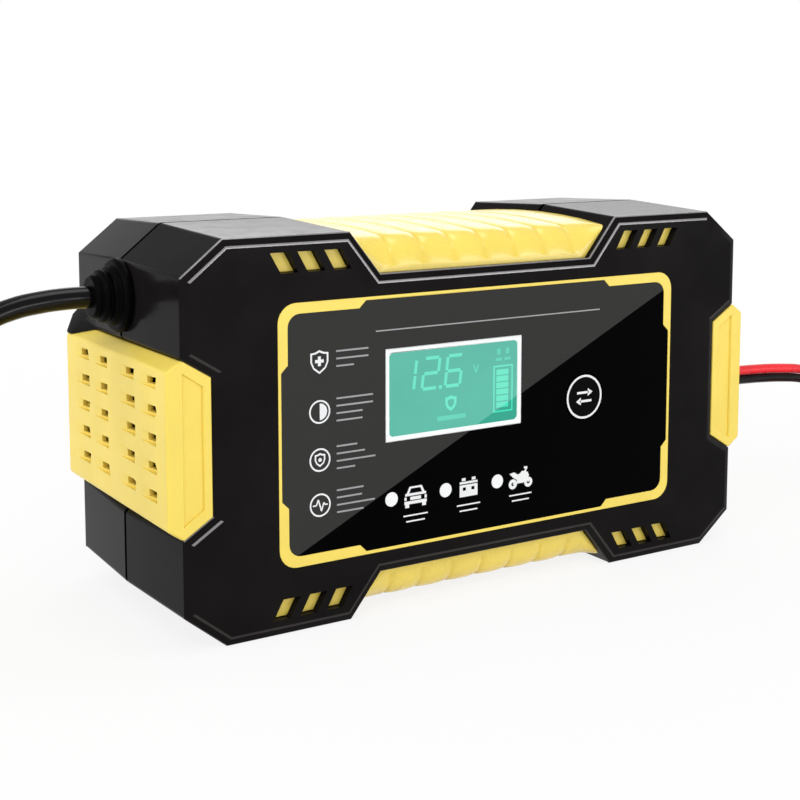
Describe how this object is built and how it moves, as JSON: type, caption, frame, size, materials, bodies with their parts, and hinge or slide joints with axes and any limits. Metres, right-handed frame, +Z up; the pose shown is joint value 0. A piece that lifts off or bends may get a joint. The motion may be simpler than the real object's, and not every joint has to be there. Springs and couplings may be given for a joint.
{
  "type": "car battery charger",
  "caption": "Compact car battery charger with a black two-shell case, yellow ribbed grips and vent panels, a display, a mains lead with plug and battery clip leads.",
  "frame": {"origin": "middle of the case's footprint, on the surface that it stands on", "axes": "+X along the front from the mains lead to the battery leads, +Y from the display to the rear, +Z up"},
  "size_m": [0.4906, 0.0684, 0.0912],
  "materials": {
    "shell": "fine-grained black moulding",
    "yellow_trim": "satin yellow moulding",
    "label_print": "glossy printed sheet",
    "lcd_white": "white frame and light box",
    "lcd_glass": "backlit teal display",
    "button": "black cap",
    "lamp": "clear lens",
    "board": "green solder mask",
    "steel": "plated steel",
    "ferrite": "dark ferrite",
    "winding": "taped winding",
    "capacitor": "printed sleeve",
    "copper_wire": "enamelled copper wire",
    "moulded_black": "moulded black body",
    "aluminium": "extruded aluminium",
    "fuse_glass": "glass tube",
    "ribbon": "flat cable",
    "boot": "soft black boot",
    "black_cord": "black insulation",
    "red_cord": "red insulation",
    "red_clip": "red moulding",
    "black_clip": "black moulding",
    "strap": "black strap",
    "copper": "coppered steel teeth",
    "nickel": "nickel-plated brass pins"
  },
  "bodies": {
    "charger": {"front_shell": "shell", "rear_shell": "shell", "top_grip": "yellow_trim", "bottom_grip": "yellow_trim", "left_vent_panel": "yellow_trim", "right_vent_panel": "yellow_trim", "corner_accents": "yellow_trim", "label_border": "yellow_trim", "front_label": "label_print", "lcd_bezel": "lcd_white", "lcd_glass": "lcd_glass", "lcd_backlight": "lcd_white", "display_board": "board", "mode_switch": "steel", "indicator_lenses": "lamp", "indicator_leds": "lamp", "case_screws": "steel", "board_screws": "steel", "display_screws": "steel", "main_board": "board", "transformer_core": "ferrite", "transformer_winding": "winding", "bulk_capacitor": "capacitor", "output_capacitors": "capacitor", "line_capacitor": "winding", "line_choke": "copper_wire", "output_choke": "copper_wire", "bridge_rectifier": "moulded_black", "primary_heat_sink": "aluminium", "output_heat_sink": "aluminium", "power_transistors": "moulded_black", "fuse": "fuse_glass", "display_cable": "ribbon", "fan_frame": "moulded_black", "mains_strain_relief": "boot", "mains_cord": "black_cord", "mains_coil": "black_cord", "mains_tie": "strap", "mains_plug": "moulded_black", "mains_plug_pins": "nickel", "dc_grommet": "boot", "red_lead": "red_cord", "black_lead": "black_cord", "red_coil": "red_cord", "black_coil": "black_cord", "lead_tie": "strap", "red_clip_fixed": "red_clip", "red_clip_fixed_teeth": "copper", "red_clip_spring": "steel", "black_clip_fixed": "black_clip", "black_clip_fixed_teeth": "copper", "black_clip_spring": "steel", "clip_pins": "steel"},
    "fan_rotor": {"fan_rotor": "moulded_black"},
    "mode_button": {"mode_button": "button"},
    "red_jaw": {"red_clip_moving": "red_clip", "red_clip_moving_teeth": "copper"},
    "black_jaw": {"black_clip_moving": "black_clip", "black_clip_moving_teeth": "copper"}
  },
  "joints": [
    {"name": "fan_spin", "type": "hinge", "parent": "charger", "child": "fan_rotor", "pos_m": [-0.066, 0, 0.045], "axis": [1, 0, 0], "continuous": true},
    {"name": "mode_press", "type": "slide", "parent": "charger", "child": "mode_button", "axis": [0, 1, 0], "range_m": [0, 0.0005], "stiffness_N_per_m": 2000},
    {"name": "red_clip_open", "type": "hinge", "parent": "charger", "child": "red_jaw", "pos_m": [0.234, 0.018, 0.007], "axis": [0, 0, 1], "range_deg": [0, 25], "stiffness_Nm_per_rad": 0.3, "springref_deg": -20.05, "deforming": ["red_clip_spring"]},
    {"name": "black_clip_open", "type": "hinge", "parent": "charger", "child": "black_jaw", "pos_m": [0.234, -0.018, 0.007], "axis": [0, 0, -1], "range_deg": [0, 25], "stiffness_Nm_per_rad": 0.3, "springref_deg": -20.05, "deforming": ["black_clip_spring"]}
  ]
}
